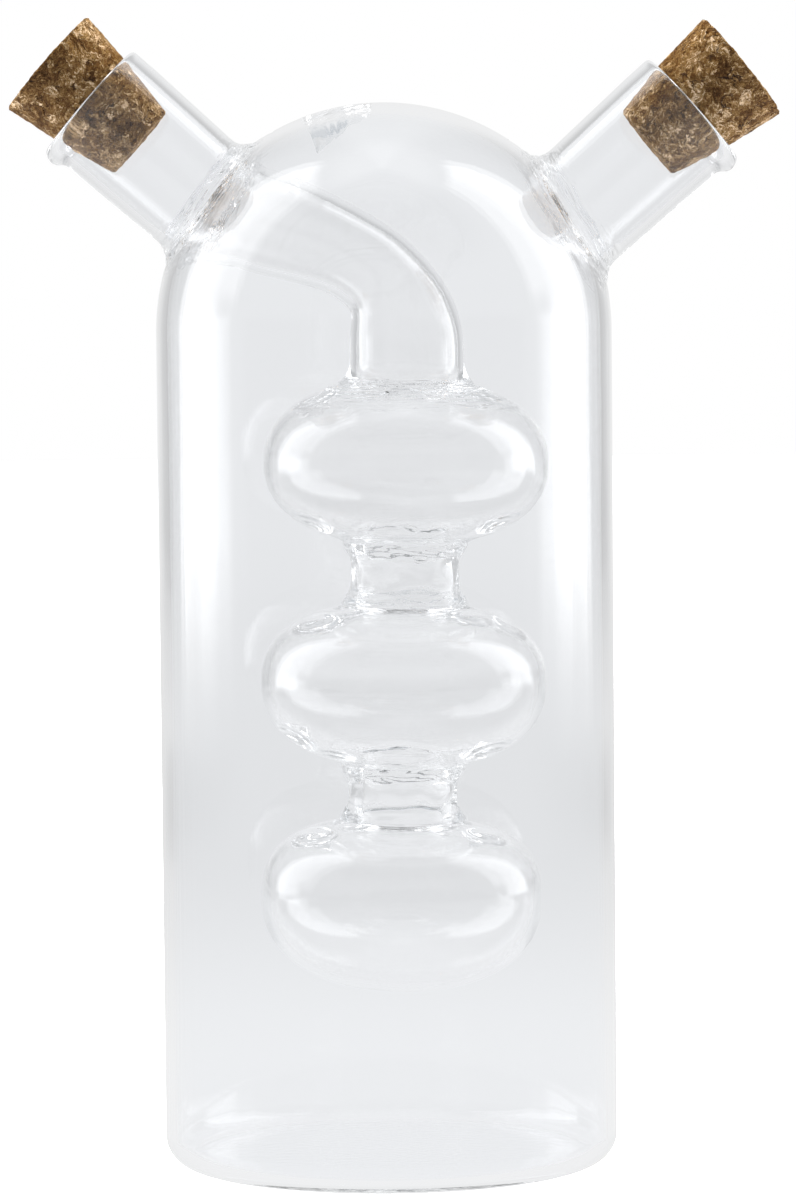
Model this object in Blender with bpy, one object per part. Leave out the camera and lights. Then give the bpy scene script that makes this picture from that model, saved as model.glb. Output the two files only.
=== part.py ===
"""Oil and vinegar bottle: a domed glass flask for the oil, a vessel of three bulbs inside it for
the vinegar, a slanted neck for each and two tapered cork stoppers.

Lengths are in metres and +Z is up. The origin is the centre of the base's underside. Both necks
lie in the XZ plane, the vinegar neck towards -X and the oil neck towards +X. The glass is
modelled as the blanks that are welded together, with a hairline gap at each seam.
"""

import math

import bmesh
import bpy
from mathutils import Matrix, Vector

# Gaps between neighbouring solids
SEAM_GAP = 0.0003
CORK_CLEARANCE = 0.0003

# Flask body: a straight cylinder under a hemispherical dome, whose crown is a lens of solid glass
# with a flat face below
BODY_DIAMETER = 0.0750
BODY_WALL = 0.0018
BODY_STRAIGHT = 0.1378
HEEL_RADIUS = 0.0038
BASE_THICKNESS = 0.0026
FLOOR_FILLET = 0.0030
CROWN_THICKNESS = 0.0057
CROWN_FILLET = 0.0120

# Necks: the same slightly flared tube twice, welded on the dome
NECK_RISE = math.radians(41.5)
NECK_ROOT_DIAMETER = 0.0206
NECK_MOUTH_DIAMETER = 0.0214
NECK_WALL = 0.0015
ROOT_FILLET = 0.0026
ROOT_EDGE = 0.0003
LIP_LENGTH = 0.0046
LIP_MIDDLE_SHARE = 0.44

# On a neck's lower side the rim is thicker and lies further out and lower, as a spout, and the
# lip swells towards it.
SPOUT_REACH = 0.00125
SPOUT_DROP = 0.0009
SPOUT_SWELL = 0.0006
LIP_SWELL = 0.0009
LIP_BORE_SWELL = 0.0003
RIM_TURNS = tuple(math.radians(turn) for turn in (-30, 30, 90, 160))

# Each neck's axis crosses the flask's axis this far below the dome's centre, and its rim lies
# this far outside the dome.
VINEGAR_AXIS_DROP = 0.0040
VINEGAR_NECK_LENGTH = 0.0239
OIL_AXIS_DROP = 0.0088
OIL_NECK_LENGTH = 0.0253

# Feed tube: from the vinegar neck's root, sloping inwards and bending down to the bulbs
INNER_WALL = 0.0014
FEED_ROOT_DIAMETER = 0.0204
FEED_RUN_DIAMETER = 0.0172
FEED_BEND_DIAMETER = 0.0146
FEED_FOOT_DIAMETER = 0.0188
FEED_FOOT_FLARE = 0.0025
FEED_SLOPE = math.radians(20)
FEED_HANDLE_SHARES = (0.515, 0.425)
FEED_NARROWING_SHARES = (0.15, 0.50)
FEED_WIDENING_SHARES = (0.62, 0.97)
FEED_STATION_SHARES = (0.12, 0.25, 0.38, 0.50, 0.60, 0.70, 0.80, 0.90, 1.0)

# Bulbs and waists, hung from the feed tube's foot
STACK_OFFSET = 0.0037
STACK_DROP = 0.0085
STACK_LEAN = math.radians(1.1)
BULB_DIAMETER = 0.0472
BULB_HALF_HEIGHT = 0.0143
LOWER_BULB_DEPTH = 0.0152
BULB_WALL = 0.0011
BULB_FULLNESS = 2.3
SEAM_DIAMETER = 0.0222
SEAM_BORE = 0.0150
WAIST_DIAMETER = 0.0178
WAIST_LENGTH = 0.0092
WAIST_FLARE = 0.0024

# Stoppers: tapered corks, squeezed a little more where they sit in the glass
CORK_LENGTH = 0.0204
VINEGAR_CORK_PROUD = 0.0094
OIL_CORK_PROUD = 0.0108
CORK_TOP_DIAMETER = 0.0203
CORK_BOTTOM_DIAMETER = 0.0136
CORK_EDGE = 0.0006
OIL_CORK_TILT = math.radians(2.9)

# Fineness of the meshes, and how far a cutter runs past what it cuts
BODY_SIDES = 48
TUBE_SIDES = 32
DOME_STEPS = 12
CORNER_STEPS = 4
BULB_STEPS = 10
CUT_OVERRUN = 0.0100
MERGE_DISTANCE = 0.000001
SHARP_ANGLE = math.radians(40)

GLASS_COLOUR = (0.92, 0.94, 0.95, 1.0)
GLASS_ROUGHNESS = 0.02
GLASS_IOR = 1.47
CORK_COLOUR = (0.32, 0.18, 0.08, 1.0)
CORK_ROUGHNESS = 0.85

BODY_RADIUS = BODY_DIAMETER / 2
BODY_BORE_RADIUS = BODY_RADIUS - BODY_WALL
NECK_ROOT_RADIUS = NECK_ROOT_DIAMETER / 2
NECK_MOUTH_RADIUS = NECK_MOUTH_DIAMETER / 2
NECK_ROOT_BORE = NECK_ROOT_RADIUS - NECK_WALL
NECK_MOUTH_BORE = NECK_MOUTH_RADIUS - NECK_WALL
SEAM_RADIUS = SEAM_DIAMETER / 2
SEAM_BORE_RADIUS = SEAM_BORE / 2
WAIST_RADIUS = WAIST_DIAMETER / 2
BULB_RADIUS = BULB_DIAMETER / 2
VINEGAR_SIDE = -1
OIL_SIDE = 1
UP = Vector((0, 0, 1))


def clear_scene():
    for item in list(bpy.data.objects):
        bpy.data.objects.remove(item)


def glass(name):
    material = principled(name, GLASS_COLOUR, GLASS_ROUGHNESS)
    shader = material.node_tree.nodes["Principled BSDF"]
    shader.inputs["Transmission Weight"].default_value = 1
    shader.inputs["IOR"].default_value = GLASS_IOR
    return material


def cork(name):
    return principled(name, CORK_COLOUR, CORK_ROUGHNESS)


def principled(name, colour, roughness):
    material = bpy.data.materials.new(name)
    material.use_nodes = True
    material.diffuse_color = colour
    shader = material.node_tree.nodes["Principled BSDF"]
    shader.inputs["Base Color"].default_value = colour
    shader.inputs["Roughness"].default_value = roughness
    shader.inputs["Metallic"].default_value = 0
    return material


def add_axis(name, location, turn=0):
    """An empty whose local Z is an axis of the bottle, turned about Y from the vertical."""
    axis = bpy.data.objects.new(name, None)
    axis.location = location
    axis.rotation_euler = (0, turn, 0)
    bpy.context.scene.collection.objects.link(axis)
    return axis


def add_piece(name, bm, material, axis=None, height=0, turn=0):
    """Makes an object of the mesh, standing at a height on its axis."""
    if bm.calc_volume(signed=True) < 0:
        bmesh.ops.reverse_faces(bm, faces=bm.faces)
    mesh = bpy.data.meshes.new(name)
    bm.to_mesh(mesh)
    bm.free()
    mesh.shade_smooth()
    mesh.set_sharp_from_angle(angle=SHARP_ANGLE)
    mesh.materials.append(material)
    piece = bpy.data.objects.new(name, mesh)
    piece.parent = axis
    piece.location = height * UP
    piece.rotation_euler = (0, turn, 0)
    bpy.context.scene.collection.objects.link(piece)
    return piece


def turned(profile, sides, closed=True):
    """A turned solid from (radius, height) points; an open profile starts and ends on the axis."""
    bm = bmesh.new()
    verts = [bm.verts.new((radius, 0, height)) for radius, height in profile]
    pairs = list(zip(verts, verts[1:]))
    if closed:
        pairs.append((verts[-1], verts[0]))
    edges = [bm.edges.new(pair) for pair in pairs if pair[0].co.x or pair[1].co.x]
    bmesh.ops.spin(
        bm, geom=verts + edges, cent=(0, 0, 0), axis=UP, angle=math.tau, steps=sides, use_merge=True
    )
    bmesh.ops.remove_doubles(bm, verts=bm.verts, dist=MERGE_DISTANCE)
    return bm


def lofted(rings):
    """A closed shell through rings of points: up its outside, over the end and down its inside."""
    bm = bmesh.new()
    loops = [[bm.verts.new(point) for point in ring] for ring in rings]
    for lower, upper in zip(loops, loops[1:] + loops[:1]):
        corners = zip(lower, lower[1:] + lower[:1], upper[1:] + upper[:1], upper)
        for quad in corners:
            bm.faces.new(quad)
    return bm


def arc(centre, radius, start, end, steps):
    """Points (radius, height) on an arc, from one angle to another."""
    angles = [start + (end - start) * step / steps for step in range(steps + 1)]
    return [(centre[0] + radius * math.cos(a), centre[1] + radius * math.sin(a)) for a in angles]


def dome_outside():
    """Points up the dome's outside, the last one on the axis."""
    points = arc((0, BODY_STRAIGHT), BODY_RADIUS, 0, math.pi / 2, DOME_STEPS)
    return points[:-1] + [(0, BODY_STRAIGHT + BODY_RADIUS)]


def dome_ceiling():
    """Points up the dome's inside: round, then eased into the crown's flat face."""
    flat_height = BODY_RADIUS - CROWN_THICKNESS
    reach = BODY_BORE_RADIUS - CROWN_FILLET
    rise = flat_height - CROWN_FILLET
    fillet_centre = (math.sqrt(reach**2 - rise**2), BODY_STRAIGHT + rise)
    turn = math.asin(rise / reach)
    bore = arc((0, BODY_STRAIGHT), BODY_BORE_RADIUS, 0, turn, DOME_STEPS)
    fillet = arc(fillet_centre, CROWN_FILLET, turn, math.pi / 2, CORNER_STEPS)
    return bore + fillet[1:] + [(0, BODY_STRAIGHT + flat_height)]


def eased(value, low, high):
    """0 up to low, 1 from high on, and a smooth step between them."""
    share = min(1, max(0, (value - low) / (high - low)))
    return share * share * (3 - 2 * share)


def neck_axis_frame(side, drop):
    """Place and direction of a neck's axis, as a matrix whose local +Z runs out of the mouth."""
    crossing = (BODY_STRAIGHT - drop) * UP
    turn = side * (math.pi / 2 - NECK_RISE)
    return Matrix.Translation(crossing) @ Matrix.Rotation(turn, 4, "Y")


def stack_frame():
    """Place and direction of the bulbs' axis, with its origin at the feed tube's foot."""
    foot = Vector((STACK_OFFSET, 0, BODY_STRAIGHT - STACK_DROP))
    return Matrix.Translation(foot) @ Matrix.Rotation(STACK_LEAN, 4, "Y")


def reach_to_envelope(frame, x, y, radius):
    """How far along the frame's local Z the line through (x, y) leaves the domed envelope."""
    start = frame @ Vector((x, y, 0))
    heading = frame.to_3x3() @ UP
    offset = start - BODY_STRAIGHT * UP
    along = offset.dot(heading)
    reach = math.sqrt(along**2 - offset.length_squared + radius**2) - along
    if (start + reach * heading).z >= BODY_STRAIGHT:
        return reach
    across = heading.xy.length_squared
    slant = start.xy.dot(heading.xy)
    return (math.sqrt(slant**2 - across * (start.xy.length_squared - radius**2)) - slant) / across


def ring_angles(sides):
    return [math.tau * step / sides for step in range(sides)]


def flask_body():
    """The outer vessel, with a hole through its dome under each neck."""
    bottom = [(0, 0)] + arc(
        (BODY_RADIUS - HEEL_RADIUS, HEEL_RADIUS), HEEL_RADIUS, -math.pi / 2, 0, CORNER_STEPS
    )
    dome = dome_outside()
    ceiling = dome_ceiling()[::-1]
    fillet_centre = (BODY_BORE_RADIUS - FLOOR_FILLET, BASE_THICKNESS + FLOOR_FILLET)
    floor = arc(fillet_centre, FLOOR_FILLET, 0, -math.pi / 2, CORNER_STEPS) + [(0, BASE_THICKNESS)]
    bm = turned(bottom + dome + ceiling + floor, BODY_SIDES, closed=False)
    body = add_piece("flask_body", bm, glass("flask_glass"))
    for name, side, drop in (
        ("vinegar_hole", VINEGAR_SIDE, VINEGAR_AXIS_DROP),
        ("oil_hole", OIL_SIDE, OIL_AXIS_DROP),
    ):
        cut = body.modifiers.new(name, "BOOLEAN")
        cut.solver = "EXACT"
        cut.object = neck_hole_cutter(name, side, drop)
    return body


def neck_hole_cutter(name, side, drop):
    """A round plug of the neck's bore, through the dome's wall."""
    frame = neck_axis_frame(side, drop)
    outside = reach_to_envelope(frame, 0, 0, BODY_RADIUS) + CUT_OVERRUN
    inside = reach_to_envelope(frame, 0, 0, BODY_BORE_RADIUS) - CUT_OVERRUN
    profile = [(0, inside), (NECK_ROOT_BORE, inside), (NECK_ROOT_BORE, outside), (0, outside)]
    axis = add_axis(name + "_axis", frame.translation, side * (math.pi / 2 - NECK_RISE))
    cutter = add_piece(name, turned(profile, TUBE_SIDES, closed=False), glass(name), axis)
    cutter.hide_render = True
    cutter.display_type = "WIRE"
    return cutter


def spout_share(angle):
    """1 at the neck's lower side, fading to 0 at its upper side."""
    return ((1 + math.cos(angle)) / 2) ** 2


def neck(name, side, drop, reach, axis):
    """A neck tube: root fillet on the dome, taper, and a lip drawn out below for pouring."""
    frame = neck_axis_frame(side, drop)
    envelope = BODY_RADIUS + SEAM_GAP

    def on_dome(radius, lift):
        points = []
        for angle in ring_angles(TUBE_SIDES):
            x, y = side * radius * math.cos(angle), radius * math.sin(angle)
            points.append((x, y, reach_to_envelope(frame, x, y, envelope) + lift))
        return points

    def on_lip(radius, height, swell=0, drop=0, half_wall=0, turn=0):
        points = []
        for angle in ring_angles(TUBE_SIDES):
            spout = spout_share(angle)
            half = half_wall + (SPOUT_SWELL * spout if half_wall else 0)
            place = radius + swell * spout + half * math.cos(turn)
            x, y = side * place * math.cos(angle), place * math.sin(angle)
            points.append((x, y, height - drop * spout + half * math.sin(turn)))
        return points

    rings = [on_dome(NECK_ROOT_RADIUS + ROOT_FILLET, 0)]
    for step in range(CORNER_STEPS + 1):
        angle = math.pi / 2 * step / CORNER_STEPS
        radius = NECK_ROOT_RADIUS + ROOT_FILLET * (1 - math.sin(angle))
        rings.append(on_dome(radius, ROOT_EDGE + ROOT_FILLET * (1 - math.cos(angle))))
    lip_start = reach - LIP_LENGTH
    lip_middle = lip_start + LIP_MIDDLE_SHARE * LIP_LENGTH
    rim_half = NECK_WALL / 2
    rim_radius = NECK_MOUTH_RADIUS - rim_half
    rings += [
        on_lip(NECK_MOUTH_RADIUS, lip_start),
        on_lip(NECK_MOUTH_RADIUS, lip_middle, LIP_SWELL, SPOUT_DROP),
    ]
    for turn in RIM_TURNS:
        rings.append(
            on_lip(rim_radius, reach - rim_half, SPOUT_REACH, SPOUT_DROP, rim_half, turn)
        )
    rings += [
        on_lip(NECK_MOUTH_BORE, lip_middle, LIP_BORE_SWELL),
        on_lip(NECK_MOUTH_BORE, lip_start),
        on_dome(NECK_ROOT_BORE, 0),
    ]
    return add_piece(name, lofted(rings), glass(name + "_glass"), axis)


def feed_radius(share):
    """Outer radius of the feed tube at a share of its way."""
    run, bend, foot = FEED_RUN_DIAMETER / 2, FEED_BEND_DIAMETER / 2, FEED_FOOT_DIAMETER / 2
    narrowed = run + (bend - run) * eased(share, *FEED_NARROWING_SHARES)
    return narrowed + (foot - bend) * eased(share, *FEED_WIDENING_SHARES)


def feed_ring(centre, heading, radius):
    """Ring of points square to a heading in the XZ plane, starting at its lower side."""
    below = Vector((heading.z, 0, -heading.x))
    across = Vector((0, 1, 0))
    return [
        centre + radius * (math.cos(angle) * below + math.sin(angle) * across)
        for angle in ring_angles(TUBE_SIDES)
    ]


def feed_tube():
    """The tube that carries the vinegar neck's bore through the dome and down to the bulbs."""
    neck_frame = neck_axis_frame(VINEGAR_SIDE, VINEGAR_AXIS_DROP)
    ceiling = BODY_BORE_RADIUS - SEAM_GAP

    def root_ring(radius):
        points = []
        for angle in ring_angles(TUBE_SIDES):
            x, y = VINEGAR_SIDE * radius * math.cos(angle), radius * math.sin(angle)
            points.append(neck_frame @ Vector((x, y, reach_to_envelope(neck_frame, x, y, ceiling))))
        return points

    stack = stack_frame()
    stack_up = stack.to_3x3() @ UP
    start = neck_frame @ Vector((0, 0, reach_to_envelope(neck_frame, 0, 0, ceiling)))
    end = stack @ (FEED_FOOT_FLARE * UP)
    span = (end - start).length
    slope = Vector((math.cos(FEED_SLOPE), 0, -math.sin(FEED_SLOPE)))
    upper_handle = start + FEED_HANDLE_SHARES[0] * span * slope
    lower_handle = end + FEED_HANDLE_SHARES[1] * span * stack_up

    outside = [root_ring(FEED_ROOT_DIAMETER / 2)]
    inside = [root_ring(NECK_ROOT_BORE)]
    for share in FEED_STATION_SHARES:
        rest = 1 - share
        centre = (
            rest**3 * start
            + 3 * rest**2 * share * upper_handle
            + 3 * rest * share**2 * lower_handle
            + share**3 * end
        )
        heading = (
            rest**2 * (upper_handle - start)
            + 2 * rest * share * (lower_handle - upper_handle)
            + share**2 * (end - lower_handle)
        ).normalized()
        radius = feed_radius(share)
        outside.append(feed_ring(centre, heading, radius))
        inside.append(feed_ring(centre, heading, radius - INNER_WALL))
    foot_radius = FEED_FOOT_DIAMETER / 2
    for share in (1 / 2, 1):
        centre = stack @ ((1 - share) * FEED_FOOT_FLARE * UP)
        radius = foot_radius + (SEAM_RADIUS - foot_radius) * share**2
        bore = foot_radius - INNER_WALL + (SEAM_BORE_RADIUS - foot_radius + INNER_WALL) * share
        outside.append(feed_ring(centre, -stack_up, radius))
        inside.append(feed_ring(centre, -stack_up, bore))
    return add_piece("feed_tube", lofted(outside + inside[::-1]), glass("feed_tube_glass"))


def bulb_height_at(radius, equator, half_height):
    """Height above the equator at which a bulb's outline has this radius."""
    share = 1 - (radius / equator) ** BULB_FULLNESS
    return half_height * share ** (1 / BULB_FULLNESS)


def bulb_outline(equator, half_height, top, bottom):
    """Points (radius, height) down a bulb's outline between two heights."""
    points = []
    first = math.asin((top / half_height[0]) ** (BULB_FULLNESS / 2))
    last = -math.asin((-bottom / half_height[1]) ** (BULB_FULLNESS / 2))
    for step in range(BULB_STEPS + 1):
        angle = first + (last - first) * step / BULB_STEPS
        depth = half_height[0] if angle > 0 else half_height[1]
        rise = abs(math.sin(angle)) ** (2 / BULB_FULLNESS)
        radius = equator * max(0, math.cos(angle)) ** (2 / BULB_FULLNESS)
        points.append((radius, math.copysign(depth * rise, angle)))
    return points


def seam_height():
    """Height of a bulb's seam above its equator."""
    return bulb_height_at(SEAM_RADIUS, BULB_RADIUS, BULB_HALF_HEIGHT)


def open_bulb():
    """A blown bulb with a seam opening at its top and its bottom."""
    seam = seam_height()
    bore_radius = BULB_RADIUS - BULB_WALL
    bore_half = BULB_HALF_HEIGHT - BULB_WALL
    collar = bulb_height_at(SEAM_BORE_RADIUS, bore_radius, bore_half)
    outside = bulb_outline(BULB_RADIUS, (BULB_HALF_HEIGHT,) * 2, seam, -seam)
    inside = bulb_outline(bore_radius, (bore_half,) * 2, collar, -collar)
    profile = outside + [(SEAM_BORE_RADIUS, -seam)] + inside[::-1] + [(SEAM_BORE_RADIUS, seam)]
    return turned(profile, TUBE_SIDES)


def closed_bulb():
    """The last bulb, deeper below its equator and closed there."""
    seam = seam_height()
    bore_radius = BULB_RADIUS - BULB_WALL
    halves = (BULB_HALF_HEIGHT, LOWER_BULB_DEPTH)
    bore_halves = (BULB_HALF_HEIGHT - BULB_WALL, LOWER_BULB_DEPTH - BULB_WALL)
    collar = bulb_height_at(SEAM_BORE_RADIUS, bore_radius, bore_halves[0])
    outside = bulb_outline(BULB_RADIUS, halves, seam, -LOWER_BULB_DEPTH)
    inside = bulb_outline(bore_radius, bore_halves, collar, -bore_halves[1])
    profile = inside[::-1] + [(SEAM_BORE_RADIUS, seam)] + outside
    return turned(profile, TUBE_SIDES, closed=False)


def waist():
    """A short tube between two bulbs, flared at both ends, standing on its lower end."""
    flare = SEAM_RADIUS - WAIST_RADIUS
    lower = [
        (WAIST_RADIUS + flare * (1 - share) ** 2, WAIST_FLARE * share) for share in (0, 1 / 2, 1)
    ]
    upper = [(radius, WAIST_LENGTH - height) for radius, height in reversed(lower)]
    bore = [(SEAM_BORE_RADIUS, WAIST_LENGTH), (SEAM_BORE_RADIUS, 0)]
    return turned(lower + upper + bore, TUBE_SIDES)


def inner_vessel():
    """Three bulbs and two waists, each a seam gap below the one above it."""
    frame = stack_frame()
    axis = add_axis("inner_vessel_axis", frame.translation, STACK_LEAN)
    height = 0
    for name, mesh, top, bottom in (
        ("upper_bulb", open_bulb, seam_height(), seam_height()),
        ("upper_waist", waist, WAIST_LENGTH, 0),
        ("middle_bulb", open_bulb, seam_height(), seam_height()),
        ("lower_waist", waist, WAIST_LENGTH, 0),
        ("lower_bulb", closed_bulb, seam_height(), LOWER_BULB_DEPTH),
    ):
        height -= SEAM_GAP + top
        add_piece(name, mesh(), glass(name + "_glass"), axis, height)
        height -= bottom


def stopper(name, axis, reach, proud, tilt):
    """A tapered cork whose origin is the middle of the rim that it sits in."""
    seat = NECK_MOUTH_BORE - CORK_CLEARANCE
    top, bottom = CORK_TOP_DIAMETER / 2, CORK_BOTTOM_DIAMETER / 2
    inserted = proud - CORK_LENGTH
    profile = [
        (0, inserted),
        (bottom - CORK_EDGE, inserted),
        (bottom, inserted + CORK_EDGE),
        (seat, 0),
        (top, proud - CORK_EDGE),
        (top - CORK_EDGE, proud),
        (0, proud),
    ]
    bm = turned(profile, TUBE_SIDES, closed=False)
    return add_piece(name, bm, cork(name + "_cork"), axis, reach, tilt)


def build():
    clear_scene()
    flask_body()
    for use, side, drop, length, proud, tilt in (
        ("vinegar", VINEGAR_SIDE, VINEGAR_AXIS_DROP, VINEGAR_NECK_LENGTH, VINEGAR_CORK_PROUD, 0),
        ("oil", OIL_SIDE, OIL_AXIS_DROP, OIL_NECK_LENGTH, OIL_CORK_PROUD, OIL_CORK_TILT),
    ):
        frame = neck_axis_frame(side, drop)
        reach = reach_to_envelope(frame, 0, 0, BODY_RADIUS) + length
        turn = side * (math.pi / 2 - NECK_RISE)
        axis = add_axis(use + "_neck_axis", frame.translation, turn)
        neck(use + "_neck", side, drop, reach, axis)
        stopper(use + "_stopper", axis, reach, proud, tilt)
    feed_tube()
    inner_vessel()


build()
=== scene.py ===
"""Looks of the oil and vinegar bottle: clear blown glass, two ground corks and a pale studio.

Lengths are in metres and +Z is up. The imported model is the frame, and each piece here stands for
the nodes that it names, in their place. The glass is fused at its welds, as on the real bottle.
"""

import math

import bmesh
import bpy
import numpy as np
from mathutils import Matrix, Vector, noise


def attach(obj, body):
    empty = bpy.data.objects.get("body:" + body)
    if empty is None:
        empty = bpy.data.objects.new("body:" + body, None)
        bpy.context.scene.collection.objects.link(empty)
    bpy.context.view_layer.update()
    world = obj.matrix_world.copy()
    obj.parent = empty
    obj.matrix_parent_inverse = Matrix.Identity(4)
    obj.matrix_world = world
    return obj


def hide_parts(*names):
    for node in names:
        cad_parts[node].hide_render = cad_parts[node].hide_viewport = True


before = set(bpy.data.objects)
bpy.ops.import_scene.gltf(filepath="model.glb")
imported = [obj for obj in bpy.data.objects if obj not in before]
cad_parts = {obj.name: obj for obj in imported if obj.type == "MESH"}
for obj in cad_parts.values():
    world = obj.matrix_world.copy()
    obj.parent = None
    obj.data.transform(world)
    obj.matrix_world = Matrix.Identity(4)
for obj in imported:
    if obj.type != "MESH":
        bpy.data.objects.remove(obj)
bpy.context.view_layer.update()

MM = 0.001

# Flask body, as in the frame
BODY_RADIUS = 0.0375
BODY_WALL = 0.0018
BODY_STRAIGHT = 0.1378
HEEL_RADIUS = 0.0048
BASE_THICKNESS = 0.0020
FLOOR_FILLET = 0.0031
BODY_BORE_RADIUS = BODY_RADIUS - BODY_WALL
DOME_CENTRE = np.array((0, 0, BODY_STRAIGHT))

# The crown, where the tube was closed: a wedge of glass that is deepest at its front left
CROWN_WEDGE_SPAN = (-0.0112, -0.0018)
CROWN_WEDGE_WIDTH = 0.0060
CROWN_WEDGE_DEPTH = 0.0052
CROWN_WEDGE_EDGE = 0.0008
CROWN_WEDGE_LEAST = 0.000002
CROWN_FACET_SIZE = 0.0021
CROWN_FACETS = 0.60

# Necks, as in the frame, where both have the same slant and tube
NECK_RISE = math.radians(41.5)
NECK_ROOT_RADIUS = 0.0103
NECK_MOUTH_RADIUS = 0.0107
NECK_WALL = 0.0015
ROOT_FILLET = 0.0026
LIP_LENGTH = 0.0050

# Section of the lip from the tube to the bore, in millimetres: radius and height above the rim,
# first on the plain upper side and then at the pouring spout. The sharpness narrows the spout.
SPOUT_SHARPNESS = 2
LIP_SECTION = (
    ((10.70, -5.00), (10.66, -5.00)),
    ((10.70, -3.90), (10.76, -4.20)),
    ((10.70, -2.90), (11.02, -3.65)),
    ((10.70, -2.10), (11.46, -3.15)),
    ((10.70, -1.50), (11.84, -2.60)),
    ((10.70, -1.00), (12.00, -2.00)),
    ((10.66, -0.55), (11.90, -1.30)),
    ((10.50, -0.23), (11.62, -0.70)),
    ((10.25, -0.06), (11.30, -0.28)),
    ((9.95, 0.00), (11.00, -0.10)),
    ((9.60, -0.10), (10.72, -0.30)),
    ((9.30, -0.40), (10.32, -0.85)),
    ((9.20, -1.00), (9.90, -1.75)),
    ((9.20, -2.20), (9.50, -3.00)),
    ((9.20, -3.60), (9.27, -4.10)),
    ((9.20, -5.00), (9.20, -5.00)),
)

# Where each neck's fine rings end on the flask, and the strip left between them and its own
OUTER_PATCH_RADIUS = 0.0150
INNER_PATCH_RADIUS = 0.0124
PATCH_STRIP = 0.0010

# Feed tube, as in the frame
INNER_WALL = 0.0014
FEED_ROOT_RADIUS = 0.0102
FEED_RUN_RADIUS = 0.0086
FEED_BEND_RADIUS = 0.0073
FEED_FOOT_RADIUS = 0.0094
FEED_FOOT_LENGTH = 0.0040
FEED_FOOT_FLARE, FEED_FOOT_FLARE_POWER = 0.0017, 2.5
FEED_ROOT_FLARE, FEED_ROOT_FLARE_POWER = 0.0014, 4
FEED_WELD_SHIFT = 0.0025
FEED_SLOPE = math.radians(20)
FEED_HANDLE_SHARES = (0.515, 0.425)
FEED_NARROWING_SHARES = (0.15, 0.50)
FEED_WIDENING_SHARES = (0.62, 0.97)
FEED_FIRST_SHARE = 0.12
ROOT_GAP = 0.00004

# Bulbs and waists: each bulb's depth below the feed tube's foot, its radius, and the height and
# fullness of its upper and its lower half
STACK_OFFSET = 0.0037
STACK_DROP = 0.0085
STACK_LEAN = math.radians(1.1)
BULBS = (
    (0.0134, 0.0236, (0.0143, 2.25), (0.0136, 2.25)),
    (0.0498, 0.0236, (0.0135, 2.50), (0.0141, 2.25)),
    (0.0855, 0.0232, (0.0134, 2.80), (0.0152, 2.25)),
)
STACK_BOTTOM = BULBS[-1][0] + BULBS[-1][3][0]
BULB_WALL = 0.0011
WAIST_RADIUS = 0.0090
WAIST_BORE = 0.0075
WAIST_FLARE, WAIST_BORE_FLARE = 0.0014, 0.0004
WAIST_FLARE_LENGTH = 0.0034
WAIST_START = 0.0003
SEAM_FILLET = 0.0040
SEAM_BORE_FILLET = 0.0008

# Hand-made unevenness of the glass: fine and coarse ridges round the welds of necks and feed
# tube and the seams of the stack, lumps beside the seams, and waves from blowing
RIDGE_LEVEL, RIDGE_FINE, RIDGE_COARSE = 0.6, 2.2, 0.8
RIDGE_COARSENESS = 2.3
WELD_SPREAD = 0.0030
WELD_SHIFT = 0.0017
WELD_PITCH = 0.00052
WELD_ROUNDS = 2.6
WELD_DEPTH = 0.00021
WELD_ZONE = 0.0060
SEAM_SPREAD = 0.0024
SKIRT_SPREAD = 0.0060
SEAM_DEPTH = 0.00024
SEAM_SHARES = (1, 1, 1, 1, 0.4)
LUMP_SPREAD = 0.0080
LUMP_PITCH = 0.0042
LUMP_DEPTH = 0.00045
OUTER_LUMP_SHARE = 0.3
BLOWN_DEPTH = 0.00022
BLOWN_PITCH = 0.0120

# Folds that the flame left inside the bulbs, in millimetres: weld from the top, way down from it,
# turn in degrees from the vinegar side, length down, width round and height. A fold also sinks
# along the stack, away from its weld, by a share of its height.
FOLDS = (
    (0, 10.8, -14, 2.0, 3.0, 1.8),
    (0, 10.4, 192, 2.0, 3.4, 1.8),
    (0, 13.0, 24, 1.6, 2.2, 1.2),
    (1, -9.8, -20, 1.5, 3.0, 1.5),
    (1, -10.2, 204, 1.5, 3.0, 1.5),
    (2, 9.2, -24, 1.9, 3.8, 2.1),
    (2, 5.2, -38, 1.4, 2.0, 1.3),
    (2, 6.4, 214, 1.8, 2.8, 1.9),
    (2, 10.6, 190, 1.8, 2.4, 1.4),
    (3, -12.0, -12, 1.6, 4.2, 1.9),
    (3, -7.2, -34, 1.4, 3.2, 1.3),
    (3, -9.4, 206, 1.7, 4.2, 1.9),
    (4, 9.2, -20, 1.5, 3.4, 3.4),
    (4, 3.8, -38, 1.0, 1.7, 1.9),
    (4, 8.0, 204, 1.6, 2.6, 2.4),
    (4, 3.2, 214, 0.9, 1.6, 1.5),
)
FOLD_SINK = 0.6

# Corks, as in the frame
CORK_LENGTH = 0.0204
CORK_TOP_RADIUS = 0.01015
CORK_SEAT_RADIUS = 0.0089
CORK_BOTTOM_RADIUS = 0.0068
CORK_EDGE = 0.0004

# Ground surface of the corks, in millimetres: frequency and height of the lumps and crumbs,
# frequency, threshold and depth of the pits, and what is ground off all over
CORK_LUMPS = (0.45, 0.10)
CORK_CRUMBS = (1.3, 0.09)
CORK_PITS = (2.1, 0.28, 0.75)
CORK_GROUND_OFF = 0.21

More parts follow.
